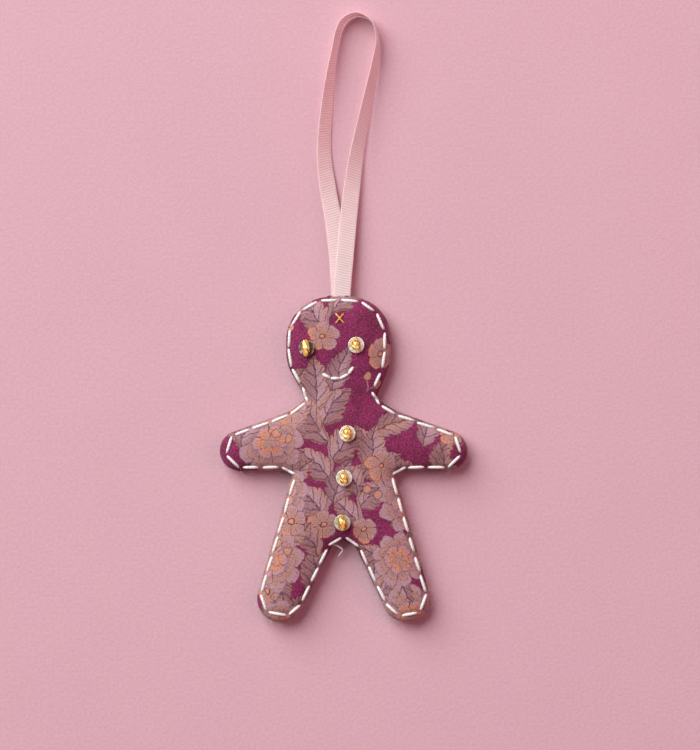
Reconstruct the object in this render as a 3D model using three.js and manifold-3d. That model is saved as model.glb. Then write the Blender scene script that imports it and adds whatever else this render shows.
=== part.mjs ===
// Fabric gingerbread man ornament: two cloth panels sewn together round loose stuffing by one
// running stitch, with sequin eyes and buttons under gold beads, a sewn smile and a ribbon loop.
// It lies on its back: +X to the viewer's right, +Y towards the head, +Z out of the face, in mm.

import * as THREE from 'three';
import { ConvexHull } from 'three/addons/math/ConvexHull.js';
import { mergeVertices } from 'three/addons/utils/BufferGeometryUtils.js';
import Module from 'manifold-3d';

const wasm = await Module();
wasm.setup();

// Outline of the figure
const figureHeight = 111;
const armSpan = 84.5;
const headWidth = 35.8;
const headLean = -1.7;
const crownRadiusLeft = 15;
const crownRadiusRight = 14.2;
const cheekDropLeft = 23;
const cheekDropRight = 22.5;
const cheekRadius = 16;
const neckWidth = 24;
const neckHeight = 20.8;
const neckRadius = 0.8;
const shoulderWidth = 36;
const shoulderDrop = 4.3;
const shoulderRadius = 20;
const handTop = 7.8;
const handBottom = -3.85;
const handRadius = 6.8;
const chestWidth = 34.2;
const armpitRadius = 2;
const footOuterSpan = 64.4;
const footInnerSpan = 32.6;
const footRadius = 8;
const crotchHeight = -21.4;
const crotchRadius = 4.8;

// Cloth panels: a round rolled rim, then a low crown
const clothThickness = 0.5;
const rimHeight = 2.3;
const rimReach = 2.2;
const crownRise = 2.3;
const crownReach = 11;
const restFlat = 0.5;
const clearance = 0.3;
const outlineStep = 3.2;
const rimRingInset = 0.35;
const crownInset = 1.8;
const crownStep = 5;
const slopeStep = 0.05;
const holeMargin = 3;

// Running stitch, set deeper by a hem round the hands, the feet and the right of the head, and
// eased towards the edge at the crotch
const stitchInset = 1.4;
const limbHemWidth = 1;
const headHemWidthRight = 0.6;
const crotchEaseWidth = 0.5;
const stitchPitch = 7;
const biteLength = 1.8;
const stitchRadius = 0.55;
const neckedRadius = 0.32;
const backStitchRadius = 0.3;
const stitchSides = 5;
const samplesPerStitch = 20;

// Sequins, beads and their gold thread
const sequinRadius = 2.75;
const sequinThickness = 0.25;
const sequinHoleRadius = 0.6;
const beadRadius = 1.6;
const beadEndRadius = 0.8;
const beadLength = 4.8;
const goldThreadRadius = 0.25;
const eyeSpacing = 16.8;
const eyeLean = -2.4;
const eyeDrop = 17;
const eyeRise = 1;
const topButtonDrop = 11.9;
const bottomButtonRise = 4.54;
const buttonLeans = [1.3, 0.2, -0.4];
const sequinSides = 20;
const beadSides = 12;
const beadSteps = 6;
const fineSides = 6;

// Smile
const smileRadius = 6.5;
const smileLean = -1;
const smileDrop = 21.5;
const smileStart = 229;
const smileEnd = 336;
const smileStitches = 4;
const smileBite = 1.4;
const smileThreadRadius = 0.45;

// Gold cross stitch
const crossWidth = 3.1;
const crossHeight = 3.7;
const crossX = -1.3;
const crossDrop = 7.4;
const crossThreadRadius = 0.28;

// Ribbon
const ribbonWidth = 6;
const ribbonThickness = 0.3;
const frontStrandX = -0.5;
const backStrandX = -1.3;
const tailLength = 12;
const foldReach = 0.75;
const foldGap = 0.25;
const loopStart = 0.6;
const loopSteps = 64;

// Stuffing
const hipDrop = 4.4;
const stuffingStep = 5.5;

const headTop = figureHeight / 2;
const seamGap = clearance / 2;
const foldY = headTop + clearance + 1.5 * ribbonThickness;
const hipHeight = crotchHeight - hipDrop;

const material = (color, roughness, metalness = 0) => (
  new THREE.MeshStandardMaterial({ color, roughness, metalness })
);

// Corners of the figure with their rounds and hems, anticlockwise from the head's left side
function figureCorners() {
  const half = (crownRadius, cheekDrop, headHem) => [
    [headWidth / 2, headTop, crownRadius, headLean, headHem],
    [headWidth / 2, headTop - cheekDrop, cheekRadius, headLean, headHem],
    [neckWidth / 2, neckHeight, neckRadius, headLean / 2, 0],
    [shoulderWidth / 2, neckHeight - shoulderDrop, shoulderRadius, 0, 0],
    [armSpan / 2, handTop, handRadius, 0, limbHemWidth],
    [armSpan / 2, handBottom, handRadius, 0, limbHemWidth],
    [chestWidth / 2, handBottom, armpitRadius, 0, 0],
    [footOuterSpan / 2, -headTop, footRadius, 0, limbHemWidth],
    [footInnerSpan / 2, -headTop, footRadius, 0, limbHemWidth],
  ];
  const corner = (side) => ([x, y, radius, lean, hem]) => (
    { at: new THREE.Vector2(side * x + lean, y), radius, hem }
  );
  const crotch = { at: new THREE.Vector2(0, crotchHeight), radius: crotchRadius, hem: -crotchEaseWidth };
  const left = half(crownRadiusLeft, cheekDropLeft, 0).map(corner(-1));
  const right = half(crownRadiusRight, cheekDropRight, headHemWidthRight).map(corner(1));
  return [...left, crotch, ...right.reverse()];
}

// Directions and turning angle at every corner of an outline
function withTurns(corners) {
  const count = corners.length;
  return corners.map((corner, i) => {
    const before = corners[(i + count - 1) % count].at;
    const after = corners[(i + 1) % count].at;
    const into = corner.at.clone().sub(before);
    const out = after.clone().sub(corner.at);
    const edge = into.length();
    into.normalize();
    out.normalize();
    const turn = Math.atan2(into.cross(out), into.dot(out));
    return { ...corner, into, out, edge, turn, reach: corner.radius * Math.tan(Math.abs(turn) / 2) };
  });
}

// Rounds shrink together where two of them would overrun the edge between them
function fittedCorners() {
  const corners = withTurns(figureCorners());
  const count = corners.length;
  const fit = corners.map((corner, i) => {
    const reach = corners[(i + count - 1) % count].reach + corner.reach;
    return Math.min(1, corner.edge / reach);
  });
  return corners.map(({ at, radius, hem }, i) => (
    { at, hem, radius: radius * Math.min(fit[i], fit[(i + 1) % count]) }
  ));
}

// The outline moved inwards, by the hems too if it is hemmed: convex rounds get smaller and hollow
// ones larger
function outlinePath(inset, hemmed = false) {
  const moved = withTurns(fittedCorners()).map(({ at, radius, hem, into, out, turn }) => {
    const depth = hemmed ? inset + hem : inset;
    const a = new THREE.Vector2(-into.y, into.x);
    const b = new THREE.Vector2(-out.y, out.x);
    const shift = a.clone().add(b).multiplyScalar(depth / (1 + a.dot(b)));
    return { at: at.clone().add(shift), radius: Math.max(seamGap, radius - Math.sign(turn) * depth) };
  });
  const path = new THREE.Path();
  for (const { at, radius, into, out, turn, reach } of withTurns(moved)) {
    const side = Math.sign(turn);
    const start = at.clone().addScaledVector(into, -reach);
    const end = at.clone().addScaledVector(out, reach);
    const centre = start.clone().add(new THREE.Vector2(-into.y, into.x).multiplyScalar(side * radius));
    const from = start.sub(centre).angle();
    const to = end.sub(centre).angle();
    path.absarc(centre.x, centre.y, radius, from, to, side < 0);
  }
  path.closePath();
  return path;
}

const ringPoints = (path, step) => path.getSpacedPoints(Math.round(path.getLength() / step)).slice(0, -1);

const edgePath = outlinePath(0);
const edgeSamples = ringPoints(edgePath, rimRingInset);
const sampleLength = edgePath.getLength() / edgeSamples.length;

// Distance to the outline, softened between facing edges so that limbs crown without a ridge
function depthInside(x, y) {
  let pull = 0;
  for (const p of edgeSamples) {
    pull += sampleLength / ((x - p.x) ** 2 + (y - p.y) ** 2) ** 2;
  }
  return Math.cbrt(Math.PI / 2 / pull);
}

// Height of the puffed cloth over the seam plane
function puff(x, y) {
  const depth = depthInside(x, y);
  const rim = Math.min(depth / rimReach, 1);
  const crown = Math.min(depth / crownReach, 1);
  return rimHeight * Math.sqrt(1 - (1 - rim) ** 2) + crownRise * (1 - (1 - crown) ** 2);
}

// Slope of the puffed cloth
function puffSlope(x, y) {
  const dx = puff(x + slopeStep, y) - puff(x - slopeStep, y);
  const dy = puff(x, y + slopeStep) - puff(x, y - slopeStep);
  return new THREE.Vector2(dx, dy).divideScalar(2 * slopeStep);
}

const frontNormal = (x, y) => {
  const slope = puffSlope(x, y);
  return new THREE.Vector3(-slope.x, -slope.y, 1).normalize();
};

function insidePolygon(p, polygon) {
  let inside = false;
  polygon.forEach((a, i) => {
    const b = polygon[(i + 1) % polygon.length];
    if (a.y > p.y !== b.y > p.y && p.x < a.x + (b.x - a.x) * (p.y - a.y) / (b.y - a.y)) {
      inside = !inside;
    }
  });
  return inside;
}

// Delaunay triangles: the under side of the hull of the points lifted onto a bowl
function delaunay(points) {
  const upright = 1e-6;
  const lifted = points.map((p) => new THREE.Vector3(p.x, p.y, p.lengthSq() / figureHeight));
  const index = new Map(lifted.map((point, i) => [point, i]));
  const hull = new ConvexHull().setFromPoints(lifted);
  const under = hull.faces.filter((face) => face.normal.z < -upright);
  return under.map(({ edge }) => [edge.prev, edge.next, edge].map((e) => index.get(e.head().point)));
}

// Points spread evenly over the inside of the outline, at least a margin away from it
function spreadPoints(step, margin, hemmed = false) {
  const polygon = ringPoints(outlinePath(margin, hemmed), step / 2);
  const points = [];
  const rowStep = step * Math.sqrt(3) / 2;
  const rows = Math.floor(headTop / rowStep);
  const columns = Math.ceil(armSpan / 2 / step);
  for (let row = -rows; row <= rows; row += 1) {
    for (let column = -columns; column <= columns; column += 1) {
      const p = new THREE.Vector2((column + (row & 1) / 2) * step, row * rowStep);
      if (insidePolygon(p, polygon)) {
        points.push(p);
      }
    }
  }
  return points;
}

// A closed solid between two surfaces that share their triangles, walled along every free edge
function closedShell(top, bottom, triangles) {
  const count = top.length;
  const index = [];
  const free = new Map();
  for (const [a, b, c] of triangles) {
    index.push(a, b, c, c + count, b + count, a + count);
    for (const [from, to] of [[a, b], [b, c], [c, a]]) {
      if (!free.delete(`${to} ${from}`)) {
        free.set(`${from} ${to}`, [from, to]);
      }
    }
  }
  for (const [a, b] of free.values()) {
    index.push(a, a + count, b + count, a, b + count, b);
  }
  const geometry = new THREE.BufferGeometry().setFromPoints([...top, ...bottom]);
  geometry.setIndex(index);
  return geometry;
}

// A closed solid through rings of points that all have the same count
function loft(rings) {
  const sides = rings[0].length;
  const last = (rings.length - 1) * sides;
  const index = [];
  for (let i = 0; i < last; i += sides) {
    for (let k = 0; k < sides; k += 1) {
      const next = (k + 1) % sides;
      index.push(i + k, i + next, i + sides + next, i + k, i + sides + next, i + sides + k);
    }
  }
  for (let k = 1; k < sides - 1; k += 1) {
    index.push(0, k + 1, k, last, last + k, last + k + 1);
  }
  const geometry = new THREE.BufferGeometry().setFromPoints(rings.flat());
  geometry.setIndex(index);
  return geometry;
}

// A thread through stations, each with its own radius; its ring, which starts on any side that no
// thread runs along, is carried along without twist
function thread(stations, sides) {
  const up = new THREE.Vector3(3, 2, 1);
  const rings = stations.map(({ at, radius }, i) => {
    const before = stations[Math.max(i - 1, 0)].at;
    const after = stations[Math.min(i + 1, stations.length - 1)].at;
    const into = at.clone().sub(before).normalize();
    const out = after.clone().sub(at).normalize();
    const along = into.add(out).normalize();
    up.addScaledVector(along, -up.dot(along)).normalize();
    const across = along.clone().cross(up);
    return Array.from({ length: sides }, (_, k) => {
      const angle = k / sides * 2 * Math.PI;
      const spoke = up.clone().multiplyScalar(Math.cos(angle)).addScaledVector(across, Math.sin(angle));
      return at.clone().addScaledVector(spoke, radius);
    });
  });
  return loft(rings);
}

// Needle hole: a square in plan, set along the sewing direction
const needleHole = (x, y, direction, threadRadius) => (
  { at: new THREE.Vector2(x, y), direction, half: threadRadius + clearance }
);

function holeCorners({ at, direction, half }) {
  const across = new THREE.Vector2(-direction.y, direction.x);
  return [[-1, -1], [1, -1], [1, 1], [-1, 1]].map(([a, b]) => (
    at.clone().addScaledVector(direction, a * half).addScaledVector(across, b * half)
  ));
}

function insideHole(p, { at, direction, half }) {
  const offset = p.clone().sub(at);
  return Math.max(Math.abs(offset.dot(direction)), Math.abs(offset.cross(direction))) < half;
}

// Running stitch: pairs of needle holes along the inset outline, one pair falling on the ribbon
const stitchPath = outlinePath(stitchInset, true);
const stitchLine = stitchPath.getLength();
const stitchCount = Math.round(stitchLine / stitchPitch);

function nearestShare(path, target) {
  const samples = path.getSpacedPoints(stitchCount * samplesPerStitch);
  const distances = samples.map((p) => p.distanceTo(target));
  return distances.indexOf(Math.min(...distances)) / samples.length;
}

const ribbonX = (frontStrandX + backStrandX) / 2;
const ribbonShare = nearestShare(stitchPath, new THREE.Vector2(ribbonX, headTop));
const crotchShare = nearestShare(stitchPath, new THREE.Vector2(0, crotchHeight));
const firstShare = ribbonShare + Math.round((crotchShare - ribbonShare) * stitchCount) / stitchCount;

function stitchPoint(stitch, offset) {
  const share = firstShare + stitch / stitchCount + offset / stitchLine;
  const t = share - Math.floor(share);
  const at = stitchPath.getPoint(t);
  return { x: at.x, y: at.y, direction: stitchPath.getTangent(t) };
}

const stitchLength = stitchLine / stitchCount - biteLength;
const stitches = Array.from({ length: stitchCount }, (_, i) => ({
  start: stitchPoint(i, biteLength / 2),
  end: stitchPoint(i, biteLength / 2 + stitchLength),
}));
const stitchHoles = stitches.flatMap(({ start, end }) => [start, end]).map(({ x, y, direction }) => (
  needleHole(x, y, direction, neckedRadius)
));

// The seam plane stands so high that the back's crown is cut flat where the figure lies on it
const crowns = spreadPoints(crownStep, crownStep).map((p) => puff(p.x, p.y));
const seamHeight = Math.max(...crowns) - restFlat;
const frontAt = (x, y, lift = 0) => new THREE.Vector3(x, y, seamHeight + puff(x, y) + lift);
const backAt = (x, y, lift = 0) => new THREE.Vector3(x, y, Math.max(0, seamHeight - puff(x, y)) - lift);

// Sequin places on the front, each leaning with the cloth
const buttonTop = neckHeight - topButtonDrop;
const buttonBottom = stitchPath.getPoint(crotchShare).y + bottomButtonRise;
const trimPlaces = [
  { name: 'eye_left', x: eyeLean + headLean - eyeSpacing / 2, y: headTop - eyeDrop - eyeRise / 2 },
  { name: 'eye_right', x: eyeLean + headLean + eyeSpacing / 2, y: headTop - eyeDrop + eyeRise / 2 },
  { name: 'button_top', x: buttonLeans[0], y: buttonTop },
  { name: 'button_middle', x: buttonLeans[1], y: (buttonTop + buttonBottom) / 2 },
  { name: 'button_bottom', x: buttonLeans[2], y: buttonBottom },
].map((place) => {
  const group = new THREE.Group();
  group.position.copy(frontAt(place.x, place.y));
  group.quaternion.setFromUnitVectors(new THREE.Vector3(0, 0, 1), frontNormal(place.x, place.y));
  group.updateMatrix();
  return { ...place, group };
});

const goldReach = sequinRadius + goldThreadRadius + clearance;
const beadSeat = 2 * clearance + sequinThickness;
const goldDepth = clothThickness + 2 * clearance + 2 * goldThreadRadius;

const goldHoles = trimPlaces.flatMap(({ group }) => [-goldReach, goldReach].map((y) => {
  const p = new THREE.Vector3(0, y, 0).applyMatrix4(group.matrix);
  return needleHole(p.x, p.y, new THREE.Vector2(1, 0), goldThreadRadius + clearance / 3);
}));

// Smile: running stitches along an arc
const smileCentre = new THREE.Vector2(smileLean + headLean, headTop - smileDrop);
const smileSpan = THREE.MathUtils.degToRad(smileEnd - smileStart);
const smileBiteAngle = smileBite / smileRadius;
const smileStitchAngle = (smileSpan - (smileStitches - 1) * smileBiteAngle) / smileStitches;

function smilePoint(angle) {
  const direction = new THREE.Vector2(-Math.sin(angle), Math.cos(angle));
  const x = smileCentre.x + smileRadius * Math.cos(angle);
  const y = smileCentre.y + smileRadius * Math.sin(angle);
  return { x, y, direction };
}

const smileEnds = Array.from({ length: smileStitches }, (_, i) => {
  const start = THREE.MathUtils.degToRad(smileStart) + i * (smileStitchAngle + smileBiteAngle);
  return [smilePoint(start), smilePoint(start + smileStitchAngle)];
});
const smileNeck = smileThreadRadius / 2;
const smileHoles = smileEnds.flat().map(({ x, y, direction }) => needleHole(x, y, direction, smileNeck));

// Cross stitch: four needle holes through the front and both ribbon tails
const crossAt = (sideX, sideY) => new THREE.Vector2(
  crossX + sideX * crossWidth / 2,
  headTop - crossDrop + sideY * crossHeight / 2,
);
const crossEnds = [crossAt(-1, 1), crossAt(1, -1), crossAt(-1, -1), crossAt(1, 1)];
const crossHoles = crossEnds.map((p) => needleHole(p.x, p.y, new THREE.Vector2(1, 0), crossThreadRadius));

// One cloth panel, on the front (side 1) or the back (side -1), with its needle holes
function panel(side, holes) {
  const surfaceAt = side > 0 ? frontAt : backAt;
  const edge = ringPoints(edgePath, outlineStep);
  const rim = ringPoints(outlinePath(rimRingInset), outlineStep);
  const corners = holes.flatMap(holeCorners);
  const clear = (p) => holes.every(({ at, half }) => p.distanceTo(at) > holeMargin * half);
  const crownEdge = stitchInset + crownInset;
  const crown = ringPoints(outlinePath(crownEdge, true), outlineStep);
  const inner = [...crown, ...spreadPoints(crownStep, crownEdge + crownInset, true)].filter(clear);
  const points = [...edge, ...rim, ...corners, ...inner];
  const triangles = delaunay(points).filter(([a, b, c]) => {
    const middle = points[a].clone().add(points[b]).add(points[c]).divideScalar(3);
    return insidePolygon(middle, edge) && !holes.some((hole) => insideHole(middle, hole));
  });
  const foldHalf = ribbonWidth / 2 + Math.abs(frontStrandX - backStrandX) / 2 + outlineStep;
  const outer = points.map((p, i) => {
    if (i >= edge.length) {
      return surfaceAt(p.x, p.y);
    }
    const onFold = p.y > headTop - rimRingInset && Math.abs(p.x - ribbonX) < foldHalf;
    return new THREE.Vector3(p.x, p.y, seamHeight + side * (onFold ? foldReach : seamGap));
  });
  const lining = points.map((p, i) => {
    if (i < edge.length) {
      const tangent = edgePath.getTangent(i / edge.length);
      const inwards = new THREE.Vector3(-tangent.y, tangent.x, 0);
      return outer[i].clone().addScaledVector(inwards, clothThickness);
    }
    const normal = frontNormal(p.x, p.y);
    if (i < edge.length + rim.length) {
      const outwards = new THREE.Vector3(normal.x, normal.y, side * normal.z);
      return outer[i].clone().addScaledVector(outwards, -clothThickness);
    }
    return outer[i].clone().setZ(outer[i].z - side * clothThickness / normal.z);
  });
  return side > 0 ? closedShell(outer, lining, triangles) : closedShell(lining, outer, triangles);
}

// The whole running stitch: over the front, through both panels and back up after a short bite
function runningStitch() {
  const over = clearance + neckedRadius;
  const under = clearance + backStitchRadius;
  const hidden = ({ x, y }) => ({ at: new THREE.Vector3(x, y, seamHeight), radius: backStitchRadius });
  const stations = [hidden(stitches[0].start)];
  stitches.forEach(({ start, end }, i) => {
    const rise = frontAt(start.x, start.y, over);
    const dive = frontAt(end.x, end.y, over);
    const middle = rise.clone().add(dive).divideScalar(2);
    middle.z = Math.max(middle.z, frontAt(middle.x, middle.y, over).z) + stitchRadius - neckedRadius;
    stations.push({ at: rise, radius: neckedRadius });
    stations.push({ at: middle, radius: stitchRadius });
    stations.push({ at: dive, radius: neckedRadius });
    const next = stitches[i + 1];
    if (next) {
      stations.push({ at: backAt(end.x, end.y, under), radius: backStitchRadius });
      stations.push({ at: backAt(next.start.x, next.start.y, under), radius: backStitchRadius });
    }
  });
  stations.push(hidden(stitches[stitchCount - 1].end));
  return thread(stations, stitchSides);
}

// Front stitches of one thread that stays under the front panel between them
function frontStitches(ends, radius, neck) {
  const under = -clothThickness - clearance - 2 * neck;
  const stations = ends.flatMap(([start, end]) => [
    { at: frontAt(start.x, start.y, under), radius: neck },
    { at: frontAt(start.x, start.y, clearance + neck), radius: neck },
    { at: frontAt((start.x + end.x) / 2, (start.y + end.y) / 2, clearance + radius), radius },
    { at: frontAt(end.x, end.y, clearance + neck), radius: neck },
    { at: frontAt(end.x, end.y, under), radius: neck },
  ]);
  return thread(stations, fineSides);
}

// Gold cross: down right first, then up right over it, both through the ribbon tails
function crossStitch() {
  const radius = crossThreadRadius;
  const low = seamHeight - 2 * ribbonThickness - 2 * clearance - 2 * radius;
  const below = ({ x, y }) => ({ at: new THREE.Vector3(x, y, low), radius });
  const above = ({ x, y }) => ({ at: frontAt(x, y, clearance + radius), radius });
  const [upLeft, downRight, downLeft, upRight] = crossEnds;
  const middle = upLeft.clone().add(downRight).divideScalar(2);
  const lower = { at: frontAt(middle.x, middle.y, clearance + radius), radius };
  const upper = { at: frontAt(middle.x, middle.y, 2 * clearance + 3 * radius), radius };
  const first = [below(upLeft), above(upLeft), lower, above(downRight), below(downRight)];
  const second = [below(downLeft), above(downLeft), upper, above(upRight), below(upRight)];
  return thread([...first, ...second], fineSides);
}

// Sequin: a thin disc with a hole, turned about its own axis
function sequin() {
  const profile = [
    [sequinHoleRadius, 0],
    [sequinRadius, 0],
    [sequinRadius, sequinThickness],
    [sequinHoleRadius, sequinThickness],
    [sequinHoleRadius, 0],
  ].map(([r, z]) => new THREE.Vector2(r, z));
  return new THREE.LatheGeometry(profile, sequinSides).rotateX(Math.PI / 2).translate(0, 0, clearance);
}

// Bead: a rice-shaped turning round its bore, which lies along the figure
function bead() {
  const bore = goldThreadRadius + clearance;
  const outside = Array.from({ length: beadSteps + 1 }, (_, i) => {
    const along = 2 * i / beadSteps - 1;
    const radius = beadEndRadius + (beadRadius - beadEndRadius) * (1 - along ** 2);
    return new THREE.Vector2(radius, along * beadLength / 2);
  });
  const bottom = new THREE.Vector2(bore, -beadLength / 2);
  const top = new THREE.Vector2(bore, beadLength / 2);
  const profile = [bottom, ...outside, top, bottom.clone()];
  return new THREE.LatheGeometry(profile, beadSides).translate(0, 0, beadSeat + beadRadius);
}

// Gold thread: up beside the sequin, through the bead and down on the other side
function beadThread() {
  const axis = beadSeat + beadRadius;
  const half = [
    [goldReach - goldDepth, -goldDepth],
    [goldReach, -goldDepth],
    [goldReach, clearance + sequinThickness],
    [beadLength / 2 + goldThreadRadius, axis],
  ];
  const stations = [...half.map(([y, z]) => [-y, z]), ...half.reverse()].map(([y, z]) => (
    { at: new THREE.Vector3(0, y, z), radius: goldThreadRadius }
  ));
  return thread(stations, fineSides);
}

// Solids for cutting and joining
function solid(geometry) {
  const source = geometry.index ? geometry : mergeVertices(geometry);
  return new wasm.Manifold(new wasm.Mesh({
    numProp: 3,
    vertProperties: Float32Array.from(source.attributes.position.array),
    triVerts: Uint32Array.from(source.index.array),
  }));
}

function fromSolid(body) {
  const mesh = body.getMesh();
  const geometry = new THREE.BufferGeometry();
  geometry.setAttribute('position', new THREE.BufferAttribute(mesh.vertProperties, 3));
  geometry.setIndex(new THREE.BufferAttribute(mesh.triVerts, 1));
  return geometry;
}

// A box between two corners
function box(low, high) {
  const size = high.clone().sub(low);
  const geometry = new THREE.BoxGeometry(size.x, size.y, size.z);
  geometry.deleteAttribute('normal');
  geometry.deleteAttribute('uv');
  const middle = low.clone().add(high).divideScalar(2);
  return mergeVertices(geometry).translate(middle.x, middle.y, middle.z);
}

// Ribbon tail inside the head, pierced where the running stitch and the cross stitch pass
function ribbonTail(side, centreX) {
  const z = seamHeight + side * (clearance + ribbonThickness) / 2;
  const low = new THREE.Vector3(centreX - ribbonWidth / 2, headTop - tailLength, z - ribbonThickness / 2);
  const high = new THREE.Vector3(centreX + ribbonWidth / 2, foldY - foldGap, z + ribbonThickness / 2);
  let tail = solid(box(low, high));
  for (const { at, half } of [...stitchHoles, ...crossHoles]) {
    if (Math.abs(at.x - centreX) < ribbonWidth / 2 + half && at.y > low.y) {
      const corner = new THREE.Vector3(at.x - half, at.y - half, z - ribbonWidth);
      const opposite = new THREE.Vector3(at.x + half, at.y + half, z + ribbonWidth);
      tail = tail.subtract(solid(box(corner, opposite)));
    }
  }
  return fromSolid(tail);
}

// Loop: along the front strand, over the top and down the back strand. It leaves the head flat, sinks
// to the table and tips over to the right onto its edge, so that the front strand shows its outer
// side and the back strand its inner side. Each place has its distance past the fold, its height and
// its roll in degrees.
function ribbonLoop() {
  const strandZ = (clearance + ribbonThickness) / 2;
  const places = [
    [frontStrandX, loopStart, seamHeight + strandZ, 0],
    [0.7, 15, 3.6, 2],
    [1.8, 27, 3.1, 7],
    [2.8, 36, 2.9, 16],
    [4.7, 49, 2.9, 35],
    [8.2, 66, 3, 51],
    [11, 80, 3.1, 66],
    [11.6, 87.5, 3.2, 79],
    [9.4, 93.6, 3.3, 87],
    [4.2, 95.8, 3.3, 98],
    [-0.4, 93, 3.2, 107],
    [-3.4, 82, 3.1, 110],
    [-5.5, 66, 2.6, 132],
    [-6.6, 49, 2, 147],
    [-5.3, 36, 1.9, 164],
    [-3.7, 27, 2.3, 173],
    [-2.2, 15, 3, 178],
    [backStrandX, loopStart, seamHeight - strandZ, 180],
  ];
  const route = new THREE.CatmullRomCurve3(places.map(([x, y, z]) => new THREE.Vector3(x, foldY + y, z)));
  const rolls = new THREE.CatmullRomCurve3(places.map(([, , , roll]) => new THREE.Vector3(roll, 0, 0)));
  const up = new THREE.Vector3(0, 0, 1);
  const rings = Array.from({ length: loopSteps + 1 }, (_, i) => {
    const t = i / loopSteps;
    const at = route.getPoint(t);
    const along = i === 0 ? new THREE.Vector3(0, 1, 0) : route.getTangent(t);
    if (i === loopSteps) {
      along.set(0, -1, 0);
    }
    const roll = THREE.MathUtils.degToRad(rolls.getPoint(t).x);
    const outwards = along.clone().cross(up).normalize();
    const level = outwards.clone().cross(along);
    const face = level.multiplyScalar(Math.cos(roll)).addScaledVector(outwards, Math.sin(roll));
    const across = face.clone().cross(along);
    return [[-1, -1], [1, -1], [1, 1], [-1, 1]].map(([a, b]) => (
      at.clone().addScaledVector(across, a * ribbonWidth / 2).addScaledVector(face, b * ribbonThickness / 2)
    ));
  });
  return loft(rings);
}

// Stuffing, whole: it fills the panels inside the stitch line, less pockets for threads and tails
function stuffing() {
  const inset = stitchInset + stitchRadius + 3 * clearance;
  const edge = ringPoints(outlinePath(inset, true), stuffingStep / 2);
  const points = [...edge, ...spreadPoints(stuffingStep, inset + stuffingStep / 2, true)];
  const triangles = delaunay(points).filter(([a, b, c]) => {
    const middle = points[a].clone().add(points[b]).add(points[c]).divideScalar(3);
    return insidePolygon(middle, edge);
  });
  const depth = points.map((p) => (clothThickness + 1.5 * clearance) / frontNormal(p.x, p.y).z);
  const top = points.map((p, i) => frontAt(p.x, p.y, -depth[i]));
  const bottom = points.map((p, i) => backAt(p.x, p.y, -depth[i]));
  let filling = solid(closedShell(top, bottom, triangles));
  for (const pocket of pockets()) {
    filling = filling.subtract(solid(pocket));
  }
  return filling;
}

// Room in the stuffing for the sewing threads under the front panel and for the ribbon tails
function pockets() {
  const side = goldThreadRadius + clearance;
  const length = goldReach + side;
  const trims = trimPlaces.map(({ group }) => (
    box(new THREE.Vector3(-side, -length, -goldDepth - side), new THREE.Vector3(side, length, beadSeat))
      .applyMatrix4(group.matrix)
  ));
  const smileDepth = clothThickness + 2 * clearance + 3 * smileNeck;
  const smileRoom = new THREE.Box3()
    .setFromPoints(smileEnds.flat().map(({ x, y }) => frontAt(x, y, -smileDepth)))
    .expandByVector(new THREE.Vector3(smileNeck + clearance, smileNeck + clearance, 0));
  const smile = box(smileRoom.min, smileRoom.max.setZ(seamHeight + headTop));
  const tailRoom = ribbonWidth / 2 + clearance;
  const floor = seamHeight - 2 * ribbonThickness - 3 * clearance - 3 * crossThreadRadius;
  const tails = box(
    new THREE.Vector3(backStrandX - tailRoom, headTop - tailLength - clearance, floor),
    new THREE.Vector3(frontStrandX + tailRoom, headTop, seamHeight + ribbonThickness + 2 * clearance),
  );
  const crossSide = crossThreadRadius + clearance;
  const crossRoom = new THREE.Box3()
    .setFromPoints(crossEnds.map(({ x, y }) => new THREE.Vector3(x, y, floor)))
    .expandByVector(new THREE.Vector3(crossSide, crossSide, 0));
  const cross = box(crossRoom.min, crossRoom.max.setZ(seamHeight + headTop));
  return [...trims, smile, tails, cross];
}

// Stuffing in six tufts: the head, the body, two arms and two legs, parted at neck, shoulders, hips
function stuffingTufts() {
  const filling = stuffing();
  const far = figureHeight;
  const gap = clearance / 2;
  const shoulder = chestWidth / 2;
  const region = (x0, x1, y0, y1) => (
    solid(box(new THREE.Vector3(x0, y0, -far), new THREE.Vector3(x1, y1, far)))
  );
  const rightArm = (x) => region(shoulder + x, far, 2 * handBottom, neckHeight + gap);
  const leftArm = (x) => region(-far, -shoulder - x, 2 * handBottom, neckHeight + gap);
  const waist = region(-far, far, hipHeight + gap, neckHeight - gap);
  const trunk = waist.subtract(leftArm(-gap)).subtract(rightArm(-gap));
  return {
    stuffing_head: filling.intersect(region(-far, far, neckHeight + gap, far)),
    stuffing_body: filling.intersect(trunk),
    stuffing_arm_left: filling.intersect(leftArm(gap)),
    stuffing_arm_right: filling.intersect(rightArm(gap)),
    stuffing_leg_left: filling.intersect(region(-far, 0, -far, hipHeight - gap)),
    stuffing_leg_right: filling.intersect(region(0, far, -far, hipHeight - gap)),
  };
}

const ornament = new THREE.Group();

function add(name, geometry, look, parent = ornament) {
  const mesh = new THREE.Mesh(geometry, look);
  mesh.name = name;
  parent.add(mesh);
}

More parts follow.
